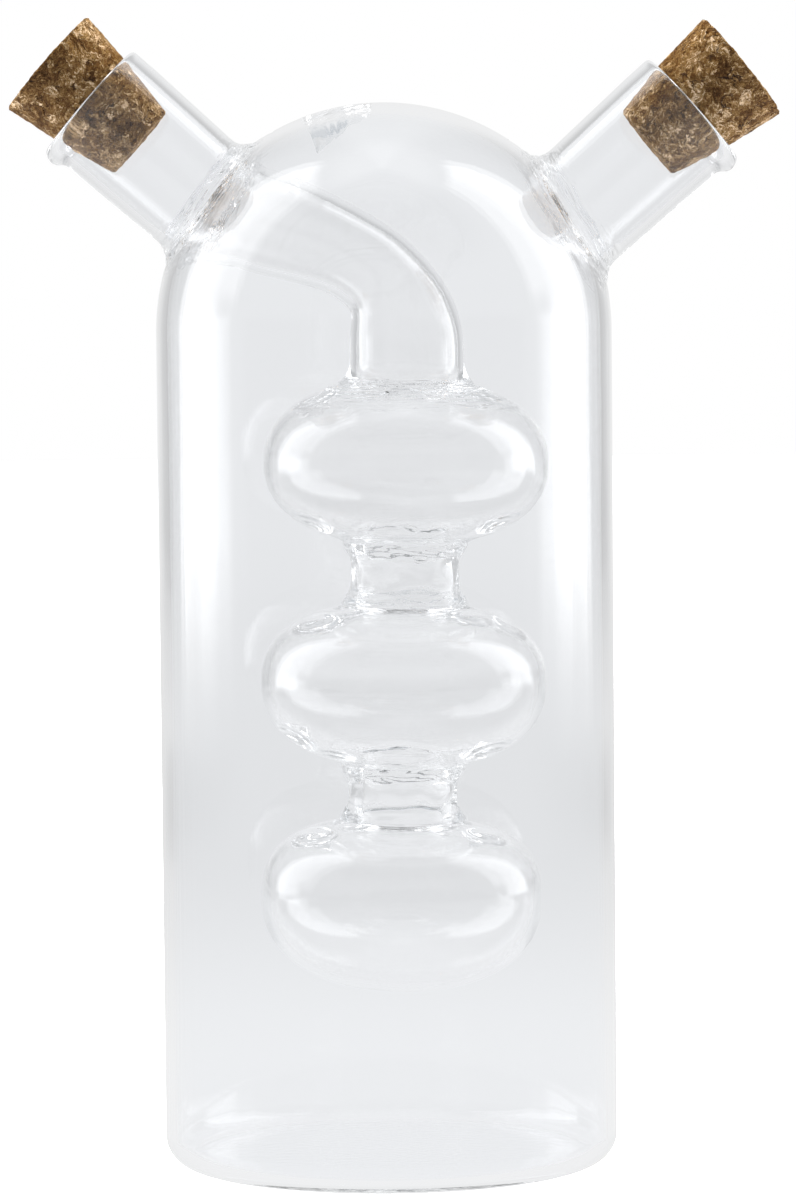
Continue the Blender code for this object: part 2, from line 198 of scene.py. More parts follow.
# Fineness of the meshes
BODY_SIDES = 192
NECK_SIDES = 96
INNER_SIDES = 104
CORK_SIDES = 208
DOME_STEPS = 64
CORNER_STEPS = 12
LIP_STEPS = 4
HOLE_EDGE_STEPS = 6
BORE_PATCH_RINGS = 12
FEED_ROOT_STEPS = 32
FEED_RINGS = 44
FEED_FOOT_STEPS = 16
STACK_SAMPLES = 8000
STRAIGHT_STEP = 0.0040
TUBE_STEP = 0.0008
WELD_STEP = 0.00017
STACK_STEPS = (0.00028, 0.0008)
STACK_FINENESS = (0.02, 0.25)
CORK_STEP = 0.00028


def eased(value, low, high):
    """0 up to low, 1 from high on, and a smooth step between them."""
    share = np.clip((value - low) / (high - low), 0, 1)
    return share * share * (3 - 2 * share)


def joined_larger(first, second, fillet):
    """The larger of two radii, with a fillet where they cross."""
    share = np.clip(0.5 + 0.5 * (first - second) / fillet, 0, 1)
    return second + (first - second) * share + fillet * share * (1 - share) / 2


def ring_turns(sides):
    return np.arange(sides) * math.tau / sides


def arc(centre, radius, start, end, steps, facing=1):
    """Points (radius, height) on an arc, each with its normal, which faces out or in."""
    turns = np.linspace(start, end, steps + 1)
    around = np.stack((np.cos(turns), np.sin(turns)), axis=1)
    return np.hstack((centre + radius * around, facing * around))


def run(first, last, normal):
    """Points on a straight stretch of a profile, each with the same normal."""
    first, last = np.array(first), np.array(last)
    steps = max(1, round(float(np.linalg.norm(last - first)) / STRAIGHT_STEP))
    shares = np.linspace(0, 1, steps + 1)[:, None]
    return np.hstack((first + (last - first) * shares, np.tile(normal, (steps + 1, 1))))


def smooth_curve(points, steps):
    """A curve through all the points, with this many steps from each one to the next."""
    points = np.array(points)
    padded = np.concatenate((points[:1], points, points[-1:]))
    curve = []
    for before, start, end, after in zip(padded, padded[1:], padded[2:], padded[3:]):
        for share in np.arange(steps) / steps:
            bend = 2 * before - 5 * start + 4 * end - after
            twist = 3 * (start - end) + after - before
            curve.append(start + ((end - before) * share + bend * share**2 + twist * share**3) / 2)
    return [*curve, points[-1]]


class GlassSurface:
    """Points, faces and known normals of one closed surface, gathered ring by ring."""

    def __init__(self):
        self.points = []
        self.normals = []
        self.faces = []

    def add_ring(self, points, normals=None):
        first = len(self.points)
        self.points.extend(points)
        self.normals.extend(np.zeros_like(points) if normals is None else normals)
        return np.arange(first, first + len(points))

    def bridge(self, lower, upper, keep=None):
        """Faces between two rings of as many points."""
        quads = np.stack((lower, np.roll(lower, -1), np.roll(upper, -1), upper), axis=1)
        self.faces.extend(quads if keep is None else quads[keep])

    def bridge_all(self, rings):
        for lower, upper in zip(rings, rings[1:]):
            self.bridge(lower, upper)

    def close(self, ring, point):
        """A fan from a ring to one point on the axis."""
        pole = self.add_ring(np.array([point]))[0]
        self.faces.extend((a, b, pole) for a, b in zip(ring, np.roll(ring, -1)))

    def to_bmesh(self):
        """The surface as a bmesh without its unused points, and the normals that go with it."""
        used = np.unique(np.concatenate([np.asarray(face) for face in self.faces]))
        renumbered = np.full(len(self.points), -1)
        renumbered[used] = np.arange(len(used))
        bm = bmesh.new()
        verts = [bm.verts.new(self.points[index]) for index in used]
        for face in self.faces:
            bm.faces.new([verts[renumbered[index]] for index in face])
        bm.verts.index_update()
        return bm, np.array(self.normals)[used], renumbered


def add_object(name, data):
    made = bpy.data.objects.new(name, data)
    bpy.context.scene.collection.objects.link(made)
    return made


def face_outwards(bm):
    bmesh.ops.recalc_face_normals(bm, faces=bm.faces)
    if bm.calc_volume(signed=True) < 0:
        bmesh.ops.reverse_faces(bm, faces=bm.faces)


def add_piece(name, bm, material, body, nodes, normals=None):
    """Makes an object of the mesh, which stands for the nodes and rides on the body."""
    face_outwards(bm)
    mesh = bpy.data.meshes.new(name)
    bm.to_mesh(mesh)
    bm.free()
    mesh.shade_smooth()
    if normals is not None:
        mesh.normals_split_custom_set_from_vertices([tuple(normal) for normal in normals])
    mesh.materials.append(material)
    piece = add_object(name, mesh)
    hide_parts(*nodes)
    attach(piece, body)


class NeckAxis:
    """The axis of a neck, with the directions square to it. It crosses the flask's axis this drop
    below the dome's centre, and its rim stands this length out of the dome. The hole's edge says
    how far the hole in the dome is rounded, and the seed where the unevenness starts."""

    def __init__(self, side, drop, length, hole_edge, seed):
        self.side = side
        self.hole_edge = hole_edge
        self.seed = seed
        self.crossing = np.array((0, 0, BODY_STRAIGHT - drop))
        self.out = np.array((side * math.cos(NECK_RISE), 0, math.sin(NECK_RISE)))
        self.below = np.array((side * math.sin(NECK_RISE), 0, -math.cos(NECK_RISE)))
        self.across = np.array((0, 1.0, 0))
        self.rim = float(self.reach(0, 0, BODY_RADIUS)) + length

    def place(self, below, across, out):
        parts = zip((below, across, out), (self.below, self.across, self.out))
        return self.crossing + sum(np.multiply.outer(part, way) for part, way in parts)

    def reach(self, below, across, radius):
        """How far out along the axis the line through this place leaves the domed envelope."""
        start = self.place(below, across, 0)
        offset = start - DOME_CENTRE
        along = offset @ self.out
        dome = np.sqrt(along**2 - (offset**2).sum(axis=-1) + radius**2) - along
        level = self.out[0] ** 2
        slant = start[..., 0] * self.out[0]
        spread = start[..., 0] ** 2 + start[..., 1] ** 2 - radius**2
        wall = (np.sqrt(slant**2 - level * spread) - slant) / level
        height = start[..., 2] + dome * self.out[2]
        return np.where(height < BODY_STRAIGHT, wall, dome)

    def distance(self, points):
        """Distance of points from the axis, large for points behind the crossing."""
        offset = points - self.crossing
        along = offset @ self.out
        away = np.linalg.norm(offset - np.multiply.outer(along, self.out), axis=-1)
        return np.where(along > 0, away, BODY_RADIUS)


def envelope_normals(points):
    """Outward normals of the domed envelope at points on it."""
    offset = points - DOME_CENTRE
    offset[..., 2] = np.maximum(offset[..., 2], 0)
    return offset / np.linalg.norm(offset, axis=-1, keepdims=True)


def noise_round(turns, radius, height):
    """Noise on a circle: one value for each turn."""
    return np.array([
        noise.noise(Vector((radius * math.cos(turn), radius * math.sin(turn), height)))
        for turn in turns
    ])


def wrinkles(turns, distance, seed):
    """Ridges that run round a weld: about -1 to 1 at each turn."""
    height = distance / WELD_PITCH + seed
    fine = noise_round(turns, WELD_ROUNDS, height)
    coarse = noise_round(turns, WELD_ROUNDS, height / RIDGE_COARSENESS - seed)
    return RIDGE_LEVEL - RIDGE_FINE * np.abs(fine) + RIDGE_COARSE * coarse


def from_weld(length):
    """Shares of a stretch that starts at a weld, closer together near it."""
    fine = np.arange(0, WELD_ZONE, WELD_STEP)
    coarse = np.linspace(WELD_ZONE, length, max(2, round((length - WELD_ZONE) / TUBE_STEP)))
    return np.concatenate((fine, coarse)) / length


def weld_ridges(turns, distance, seed):
    """Ridges of a weld, fading out on both sides of it."""
    strength = math.exp(-(((distance + WELD_SHIFT) / WELD_SPREAD) ** 2))
    return WELD_DEPTH * strength * wrinkles(turns, distance, seed)


def flask_outside():
    """Profile of the flask's outside, up from its base."""
    corner = (BODY_RADIUS - HEEL_RADIUS, HEEL_RADIUS)
    heel = arc(corner, HEEL_RADIUS, -math.pi / 2, 0, CORNER_STEPS)
    base = run((HEEL_RADIUS, 0), heel[0, :2], (0, -1))
    wall = run((BODY_RADIUS, HEEL_RADIUS), (BODY_RADIUS, BODY_STRAIGHT), (1, 0))
    dome = arc((0, BODY_STRAIGHT), BODY_RADIUS, 0, math.pi / 2, DOME_STEPS)
    return np.vstack((base[:-1], heel, wall[1:], dome[1:-1]))


def flask_inside():
    """Profile of the flask's inside, up from its floor to the top of the dome."""
    wall_foot = BASE_THICKNESS + FLOOR_FILLET
    corner = (BODY_BORE_RADIUS - FLOOR_FILLET, wall_foot)
    fillet = arc(corner, FLOOR_FILLET, -math.pi / 2, 0, CORNER_STEPS, -1)
    floor = run((STRAIGHT_STEP, BASE_THICKNESS), fillet[0, :2], (0, 1))
    wall = run((BODY_BORE_RADIUS, wall_foot), (BODY_BORE_RADIUS, BODY_STRAIGHT), (-1, 0))
    dome = arc((0, BODY_STRAIGHT), BODY_BORE_RADIUS, 0, math.pi / 2, DOME_STEPS, -1)
    return np.vstack((floor[:-1], fillet, wall[1:], dome[1:-1]))


def under_crown(points):
    """Points of the dome's bore, lowered under the crown's wedge, and which of them moved."""
    start, end = CROWN_WEDGE_SPAN
    along = np.clip((points[:, 0] - start) / (end - start), 0, 1)
    back = np.clip(points[:, 1] / CROWN_WEDGE_WIDTH / 2 + 0.5, 0, 1)
    facets = np.array([noise.noise(Vector(point) / CROWN_FACET_SIZE) for point in points])
    wedge = CROWN_WEDGE_DEPTH * (1 - along) * (1 - back) * (1 + CROWN_FACETS * facets * along)
    wedge *= eased(points[:, 0], start - CROWN_WEDGE_EDGE, start + CROWN_WEDGE_EDGE)
    wedge *= eased(points[:, 1], -CROWN_WEDGE_WIDTH - CROWN_WEDGE_EDGE, -CROWN_WEDGE_WIDTH)
    wedge[points[:, 2] < BODY_STRAIGHT + BODY_BORE_RADIUS / 2] = 0
    return np.column_stack((points[:, :2], points[:, 2] - wedge)), wedge > CROWN_WEDGE_LEAST


def add_turned(surface, profile, necks, patch_radius, crowned=False):
    """A turned surface, open where the necks' own rings lie."""
    turns = ring_turns(BODY_SIDES)
    ways = np.stack((np.cos(turns), np.sin(turns)), axis=1)
    rings, clear = [], []
    for radius, height, normal_out, normal_up in profile:
        points = np.column_stack((radius * ways, np.full(BODY_SIDES, height)))
        normals = np.column_stack((normal_out * ways, np.full(BODY_SIDES, normal_up)))
        if crowned:
            points, moved = under_crown(points)
            normals[moved] = 0
        rings.append(surface.add_ring(points, normals))
        clear.append(np.all([neck.distance(points) > patch_radius for neck in necks], axis=0))
    for lower, upper, low_clear, high_clear in zip(rings, rings[1:], clear, clear[1:]):
        both = low_clear & high_clear
        surface.bridge(lower, upper, both & np.roll(both, -1))
    for ring in (rings[0], rings[-1]):
        surface.close(ring, np.mean([surface.points[index] for index in ring], axis=0))
    return np.concatenate(rings)


def add_neck(surface, neck):
    """The rings of one neck: its root on the dome, the tube, the lip, the bore and its hole."""
    turns = ring_turns(NECK_SIDES)
    cosine, sine = np.cos(turns), np.sin(turns)
    spout = ((1 + cosine) / 2) ** SPOUT_SHARPNESS
    hole_edge, seed = neck.hole_edge, neck.seed
    rings = []

    def add(radius, height):
        rings.append(surface.add_ring(neck.place(radius * cosine, radius * sine, height)))

    def height_on(envelope, radius, lift=0):
        return neck.reach(radius * cosine, radius * sine, envelope) + lift

    def add_on(envelope, radius, facing):
        points = neck.place(radius * cosine, radius * sine, height_on(envelope, radius))
        normals = facing * envelope_normals(points)
        if facing < 0:
            points, moved = under_crown(points)
            normals[moved] = 0
        rings.append(surface.add_ring(points, normals))

    fillet_foot = NECK_ROOT_RADIUS + ROOT_FILLET
    arc_length = ROOT_FILLET * math.pi / 2
    skirt = np.arange(OUTER_PATCH_RADIUS, fillet_foot, -WELD_STEP)
    add_on(BODY_RADIUS, skirt[0], 1)
    for radius in skirt[1:]:
        distance = ROOT_FILLET / 2 - arc_length + fillet_foot - radius
        ridge = weld_ridges(turns, distance, seed)
        ridge *= 1 - eased(radius, fillet_foot, OUTER_PATCH_RADIUS)
        add(radius, height_on(BODY_RADIUS, radius, ridge))
    for turn in np.linspace(0, math.pi / 2, round(arc_length / WELD_STEP)):
        ridge = weld_ridges(turns, ROOT_FILLET * (turn - math.pi / 2 + 0.5), seed)
        radius = fillet_foot - (ROOT_FILLET - ridge) * math.sin(turn)
        lift = ROOT_FILLET - (ROOT_FILLET - ridge) * math.cos(turn)
        add(radius, height_on(BODY_RADIUS, radius, lift))
    root_height = height_on(BODY_RADIUS, NECK_ROOT_RADIUS, ROOT_FILLET)
    lip_start = neck.rim - LIP_LENGTH
    length = lip_start - float(root_height.mean())
    for share in from_weld(length)[1:]:
        height = root_height + (lip_start - root_height) * share
        radius = NECK_ROOT_RADIUS + (NECK_MOUTH_RADIUS - NECK_ROOT_RADIUS) * share
        add(radius + weld_ridges(turns, ROOT_FILLET / 2 + share * length, seed), height)

    for plain, poured in smooth_curve(LIP_SECTION, LIP_STEPS)[1:]:
        radius, height = MM * (plain[:, None] + np.multiply.outer(poured - plain, spout))
        add(radius, neck.rim + height)

    root_bore, mouth_bore = NECK_ROOT_RADIUS - NECK_WALL, NECK_MOUTH_RADIUS - NECK_WALL
    bore_end = height_on(BODY_BORE_RADIUS, root_bore, hole_edge)
    length = lip_start - float(bore_end.mean())
    for share in from_weld(length)[::-1][1:]:
        height = bore_end + (lip_start - bore_end) * share
        radius = root_bore + (mouth_bore - root_bore) * share
        add(radius + weld_ridges(turns, share * length - BODY_WALL, -seed), height)
    if hole_edge:
        for turn in np.linspace(0, math.pi / 2, HOLE_EDGE_STEPS + 1)[1:-1]:
            radius = root_bore + hole_edge * (1 - math.cos(turn))
            add(radius, height_on(BODY_BORE_RADIUS, radius, hole_edge * (1 - math.sin(turn))))
    patch = np.linspace(root_bore + hole_edge, INNER_PATCH_RADIUS, BORE_PATCH_RINGS)[:-1]
    for radius in patch if hole_edge else patch[1:]:
        ridge = weld_ridges(turns, radius - NECK_ROOT_RADIUS - WELD_SHIFT, -seed)
        ridge *= 1 - eased(radius, NECK_ROOT_RADIUS, INNER_PATCH_RADIUS)
        add(radius, height_on(BODY_BORE_RADIUS, radius, -np.abs(ridge)))
    add_on(BODY_BORE_RADIUS, INNER_PATCH_RADIUS, -1)
    surface.bridge_all(rings)
    return rings[0], rings[-1]


def fill_round(bm, turned_points, ring, neck):
    """Fills the strip between the turned surface and a neck's outermost or innermost ring."""
    wanted = set(ring) | set(turned_points)
    edges = [
        edge for edge in bm.edges if edge.is_boundary
        and all(vert.index in wanted and vert.co.x * neck.side > 0 for vert in edge.verts)
    ]
    bmesh.ops.triangle_fill(bm, edges=edges, use_beauty=True, normal=Vector(neck.out))


def flask_glass_piece(necks):
    """The flask with both necks fused on."""
    surface = GlassSurface()
    outside = add_turned(surface, flask_outside(), necks, OUTER_PATCH_RADIUS + PATCH_STRIP)
    inside = add_turned(
        surface, flask_inside(), necks, INNER_PATCH_RADIUS + PATCH_STRIP, crowned=True
    )
    ends = [add_neck(surface, neck) for neck in necks]
    bm, normals, renumbered = surface.to_bmesh()
    bm.verts.ensure_lookup_table()
    for neck, (outer_ring, inner_ring) in zip(necks, ends):
        fill_round(bm, renumbered[outside], renumbered[outer_ring], neck)
        fill_round(bm, renumbered[inside], renumbered[inner_ring], neck)
    add_piece(
        "flask_glass", bm, clear_glass("flask_glass", FLASK_TINT), "vessel",
        ("flask_body", "vinegar_neck", "oil_neck"), normals,
    )


def feed_radius(share):
    """Outer radius of the feed tube at a share of its way."""
    narrowing = eased(share, *FEED_NARROWING_SHARES)
    widening = eased(share, *FEED_WIDENING_SHARES)
    narrowed = FEED_RUN_RADIUS + (FEED_BEND_RADIUS - FEED_RUN_RADIUS) * narrowing
    return narrowed + (FEED_FOOT_RADIUS - FEED_BEND_RADIUS) * widening


def stack_radius(depth, thickness, tube, fillet):
    """Radius of the bulbs and waists at depths below the foot, this thick inside their skin."""
    bulbs = np.zeros_like(depth)
    for middle, radius, *halves in BULBS:
        for side, (half, fullness) in zip((-1, 1), halves):
            share = np.clip(side * (depth - middle) / (half - thickness), 0, 1)
            bulb = (radius - thickness) * (1 - share**fullness) ** (1 / fullness)
            bulbs = np.where(side * (depth - middle) >= 0, np.maximum(bulbs, bulb), bulbs)
    past_last = depth > BULBS[-1][0]
    return joined_larger(bulbs, np.where(past_last, -2 * fillet, tube), fillet)


def seam_depths():
    """Depths of the welds, where a bulb's outline reaches the waist's radius."""
    depths = []
    for middle, radius, *halves in BULBS:
        for side, (half, fullness) in zip((-1, 1), halves):
            share = (1 - (WAIST_RADIUS / radius) ** fullness) ** (1 / fullness)
            depths.append(middle + side * half * share)
    return np.array(depths[:-1])


def folds(turns, radius, way, welds):
    """How far the folds stand in towards the stack's axis at each turn, and how far they sink."""
    inward = np.zeros_like(turns)
    sunk = np.zeros_like(turns)
    for weld, down, turn, length, width, rise in FOLDS:
        along = (way - welds[weld]) / MM - down
        aside = (turns - math.radians(turn) + math.pi) % math.tau - math.pi
        fold = rise * np.exp(-((along / length) ** 2) - (radius / MM * aside / width) ** 2)
        inward += fold
        sunk += fold * math.copysign(FOLD_SINK, down)
    return inward * MM, sunk * MM


def stack_stations(thickness, foot, waist, fillet):
    """Stations down the stack, without the closed end and closer together at the welds, and how
    far along the outline the welds lie. A station has its depth, its radius, its way along the
    outline, and how strongly the welds wrinkle and lump the glass there."""
    depth = np.linspace(0, STACK_BOTTOM - thickness, STACK_SAMPLES)
    tube = foot + (waist - foot) * eased(depth, 0, WAIST_START)
    flare = WAIST_BORE_FLARE if thickness else WAIST_FLARE
    for seam in seam_depths()[1:]:
        tube += flare * (1 - eased(np.abs(depth - seam), 0, WAIST_FLARE_LENGTH))
    radius = stack_radius(depth, thickness, tube, fillet)
    length = np.hypot(np.diff(depth), np.diff(radius))
    way = np.concatenate(([0], np.cumsum(length)))
    seams = np.interp(seam_depths(), depth, way)
    spreads = np.where(np.arange(len(seams)) == 0, SKIRT_SPREAD, SEAM_SPREAD)
    shares = spreads / SEAM_SPREAD * SEAM_SHARES
    away = np.abs(way[:, None] - seams)
    strength = (np.exp(-((away / spreads) ** 2)) * shares).max(axis=1)
    lumped = np.exp(-((away.min(axis=1) / LUMP_SPREAD) ** 2))
    fine, coarse = STACK_STEPS
    step = fine + (coarse - fine) * (1 - eased(strength[1:], *STACK_FINENESS))
    counted = np.concatenate(([0], np.cumsum(length / step)))
    picks = np.linspace(0, counted[-1], round(counted[-1]) + 1)[:-1]
    stations = (depth, radius, way, strength, lumped)
    return zip(*(np.interp(picks, counted, values) for values in stations)), seams


def inner_glass_piece(neck):
    """The feed tube, bulbs and waists, fused into one vessel under the dome."""
    surface = GlassSurface()
    turns = ring_turns(INNER_SIDES)
    cosine, sine = np.cos(turns), np.sin(turns)
    stack_up = np.array((math.sin(STACK_LEAN), 0, math.cos(STACK_LEAN)))
    foot = np.array((STACK_OFFSET, 0, BODY_STRAIGHT - STACK_DROP))
    ceiling = BODY_BORE_RADIUS - ROOT_GAP
    start = neck.place(0, 0, neck.reach(0, 0, ceiling))
    end = foot + FEED_FOOT_LENGTH * stack_up
    span = np.linalg.norm(end - start)
    slope = np.array((math.cos(FEED_SLOPE), 0, -math.sin(FEED_SLOPE)))
    upper_handle = start + FEED_HANDLE_SHARES[0] * span * slope
    lower_handle = end + FEED_HANDLE_SHARES[1] * span * stack_up

    def ring(centre, heading, radius):
        below, across = np.array((heading[2], 0, -heading[0])), np.array((0, 1, 0))
        around = np.multiply.outer(radius * cosine, below)
        return centre + around + np.multiply.outer(radius * sine, across)

    def feed_ring(share, thickness):
        points = (start, upper_handle, lower_handle, end)
        while len(points) > 2:
            points = [near + (far - near) * share for near, far in zip(points, points[1:])]
        heading = points[1] - points[0]
        centre = points[0] + heading * share
        return ring(centre, heading / np.linalg.norm(heading), feed_radius(share) - thickness)

    def root_ring(radius):
        below, across = radius * cosine, radius * sine
        return neck.place(below, across, neck.reach(below, across, ceiling))

    def side(thickness, root_radius, root_flare, fillet, waist, seed):
        """The outside's rings, or with a thickness the bore's, down from the neck's root."""
        rings = []
        first = feed_ring(FEED_FIRST_SHARE, thickness)
        for share in np.linspace(0, 1, FEED_ROOT_STEPS + 1)[:-1]:
            flare = root_flare * (1 - share) ** FEED_ROOT_FLARE_POWER
            ridge = weld_ridges(turns, share * FEED_FIRST_SHARE * span - FEED_WELD_SHIFT, seed)
            rings.append(root_ring(root_radius + flare + ridge) * (1 - share) + first * share)
        for share in np.linspace(FEED_FIRST_SHARE, 1, FEED_RINGS):
            rings.append(feed_ring(share, thickness))
        foot_radius = FEED_FOOT_RADIUS - thickness
        for share in np.linspace(0, 1, FEED_FOOT_STEPS + 1)[1:-1]:
            radius = foot_radius + FEED_FOOT_FLARE * share**FEED_FOOT_FLARE_POWER
            rings.append(ring(end + (foot - end) * share, -stack_up, radius))
        stations, welds = stack_stations(
            BULB_WALL if thickness else 0, foot_radius + FEED_FOOT_FLARE, waist, fillet
        )
        for depth, radius, way, seam, lumped in stations:
            centre = foot - depth * stack_up
            uneven = SEAM_DEPTH * seam * wrinkles(turns, way, seed)
            lumps = [
                noise.noise(Vector(place) / LUMP_PITCH + Vector((seed, 0, 0)))
                for place in ring(centre, -stack_up, radius)
            ]
            lump_depth = LUMP_DEPTH * lumped * (1 if thickness else OUTER_LUMP_SHARE)
            uneven += lump_depth * np.array(lumps)
            inward, sunk = folds(turns, radius, way, welds) if thickness else (0, 0 * turns)
            uneven -= inward
            blown = noise_round(turns, 1, depth / BLOWN_PITCH + seed)
            uneven += BLOWN_DEPTH * blown * (radius / BULBS[0][1]) ** 2
            around = ring(centre, -stack_up, radius + uneven)
            rings.append(around - np.multiply.outer(sunk, stack_up))
        rings = [surface.add_ring(points) for points in rings]
        surface.bridge_all(rings)
        return rings

    root_bore = NECK_ROOT_RADIUS - NECK_WALL
    outside = side(0, FEED_ROOT_RADIUS, FEED_ROOT_FLARE, SEAM_FILLET, WAIST_RADIUS, seed=5.1)
    inside = side(INNER_WALL, root_bore, 0, SEAM_BORE_FILLET, WAIST_BORE, seed=23.9)
    surface.bridge(outside[0], inside[0])
    surface.close(outside[-1], foot - STACK_BOTTOM * stack_up)
    surface.close(inside[-1], foot - (STACK_BOTTOM - BULB_WALL) * stack_up)
    bm = surface.to_bmesh()[0]
    add_piece(
        "inner_glass", bm, clear_glass("inner_glass", INNER_TINT), "vessel",
        ("feed_tube", "upper_bulb", "upper_waist", "middle_bulb", "lower_waist", "lower_bulb"),
    )


def cork_piece(name, neck, proud, tilt, seed):
    """A ground cork, pitted and chipped at its edges, standing in a neck's mouth."""
    rim = neck.place(0, 0, neck.rim)
    up = neck.out * math.cos(tilt) + neck.below * math.sin(tilt)
    inserted = proud - CORK_LENGTH
    path = [
        (CORK_STEP, inserted),
        (CORK_BOTTOM_RADIUS - CORK_EDGE, inserted),
        (CORK_BOTTOM_RADIUS, inserted + CORK_EDGE),
        (CORK_SEAT_RADIUS, 0),
        (CORK_TOP_RADIUS, proud - CORK_EDGE),
        (CORK_TOP_RADIUS - CORK_EDGE, proud),
        (CORK_STEP, proud),
    ]
    profile = []
    for first, last in zip(path, path[1:]):
        steps = max(2, round(math.dist(first, last) / CORK_STEP))
        shares = np.linspace(0, 1, steps, endpoint=False)
        profile += [np.array(first) + (np.array(last) - first) * share for share in shares]
    turns = ring_turns(CORK_SIDES)
    side = np.cross(neck.across, up)
    ways = np.multiply.outer(np.cos(turns), side) + np.multiply.outer(np.sin(turns), neck.across)
    surface = GlassSurface()
    rings = [surface.add_ring(rim + height * up + radius * ways) for radius, height in profile]
    surface.bridge_all(rings)
    surface.close(rings[0], rim + inserted * up)
    surface.close(rings[-1], rim + proud * up)
    bm = surface.to_bmesh()[0]
    face_outwards(bm)
    bm.normal_update()
    pit_frequency, pit_threshold, pit_depth = CORK_PITS
    for vert in bm.verts:
        place = vert.co / MM + Vector((seed, 0, 0))
        height = sum(
            noise.noise(place * frequency) * lump for frequency, lump in (CORK_LUMPS, CORK_CRUMBS)
        )
        pit = noise.noise(place * pit_frequency + Vector((0, seed, 0))) - pit_threshold
        vert.co += vert.normal * MM * (height - pit_depth * max(0, pit) - CORK_GROUND_OFF)
    material = cork_material(f"{name}_cork", seed)
    add_piece(f"{name}_cork", bm, material, name, (name,))


def node(tree, kind, inputs=(), **settings):
    """A node with these settings, whose inputs are linked to outputs or set to values."""
    made = tree.nodes.new(kind)
    for key, value in settings.items():
        setattr(made, key, value)
    for key, value in dict(inputs).items():
        if isinstance(value, bpy.types.NodeSocket):
            tree.links.new(value, made.inputs[key])
        else:
            made.inputs[key].default_value = value
    return made


def maths(tree, operation, *values, clamp=False):
    inputs = enumerate(values)
    return node(tree, "ShaderNodeMath", inputs, operation=operation, use_clamp=clamp).outputs[0]


def vector_maths(tree, operation, *values, scale=None):
    inputs = [*enumerate(values), *([] if scale is None else [("Scale", scale)])]
    made = node(tree, "ShaderNodeVectorMath", inputs, operation=operation)
    return made.outputs["Value" if operation in ("DOT_PRODUCT", "LENGTH") else "Vector"]


def smooth_range(tree, value, low, high, start=0, end=1):
    return node(tree, "ShaderNodeMapRange", {
        "Value": value, "From Min": low, "From Max": high, "To Min": start, "To Max": end,
    }, interpolation_type="SMOOTHSTEP").outputs["Result"]


def noise_texture(tree, place, scale, detail, roughness=0.5, **settings):
    return node(tree, "ShaderNodeTexNoise", {
        "Vector": place, "Scale": scale, "Detail": detail, "Roughness": roughness,
    }, **settings)


def bumped(tree, height, distance):
    inputs = {"Strength": 1, "Distance": distance, "Height": height}
    return node(tree, "ShaderNodeBump", inputs).outputs["Normal"]


def blended(tree, share, first, second, kind="FLOAT"):
    """A mix of two values or colours, which have their own sockets on the node."""
    low, high, out = {"FLOAT": (2, 3, 0), "RGBA": (6, 7, 2)}[kind]
    mix = node(tree, "ShaderNodeMix", {"Factor": share, low: first, high: second}, data_type=kind)
    return mix.outputs[out]


def mixed(tree, share, first, second):
    """A mix of two shaders."""
    inputs = {"Fac": share, 1: first.outputs[0], 2: second.outputs[0]}
    return node(tree, "ShaderNodeMixShader", inputs)


def new_group(name, inputs, outputs):
    """A node group with these named sockets, and the values that come in."""
    group = bpy.data.node_groups.new(name, "ShaderNodeTree")
    for way, sockets in (("INPUT", inputs), ("OUTPUT", outputs)):
        for socket, kind in sockets.items():
            group.interface.new_socket(socket, in_out=way, socket_type=f"NodeSocket{kind}")
    return group, node(group, "NodeGroupInput").outputs


def new_material(name):
    material = bpy.data.materials.new(name)
    material.use_nodes = True
    material.node_tree.nodes.clear()
    return material, material.node_tree


# Glass: its tint, what it lets through to the cork and floor, the bounces after which light is
# let out of the wall, and the scales and relief of its waves and of its lines along the axis
FLASK_TINT = (0.980, 0.988, 1.0, 1)
INNER_TINT = (1.0, 1.0, 1.0, 1)
PASSED_TINT = (0.955, 0.96, 0.965, 1)
GLASS_IOR = 1.47
TRAPPED_DEPTH = 13.5
WAVE_SCALE = 90
LINE_SCALE = 700
LINE_SQUEEZE = (1, 1, 0.03)
LINE_SHARE = 0.3
WORKED_DETAIL = 1
WORKED_RELIEF = 0.00002


def worked_glass_group():
    """Faint waves and draw lines of hand-worked glass, as heights for a bump."""
    group, given = new_group(
        "worked glass", {"Wave Scale": "Float", "Line Scale": "Float"}, {"Height": "Float"}
    )
    place = node(group, "ShaderNodeTexCoord").outputs["Object"]
    waves = noise_texture(group, place, given["Wave Scale"], WORKED_DETAIL)
    squeezed = node(group, "ShaderNodeMapping", {"Vector": place, "Scale": LINE_SQUEEZE})
    lines = noise_texture(group, squeezed.outputs[0], given["Line Scale"], WORKED_DETAIL)
    weaker = maths(group, "MULTIPLY", lines.outputs[0], LINE_SHARE)
    node(group, "NodeGroupOutput", {"Height": maths(group, "ADD", waves.outputs[0], weaker)})
    return group


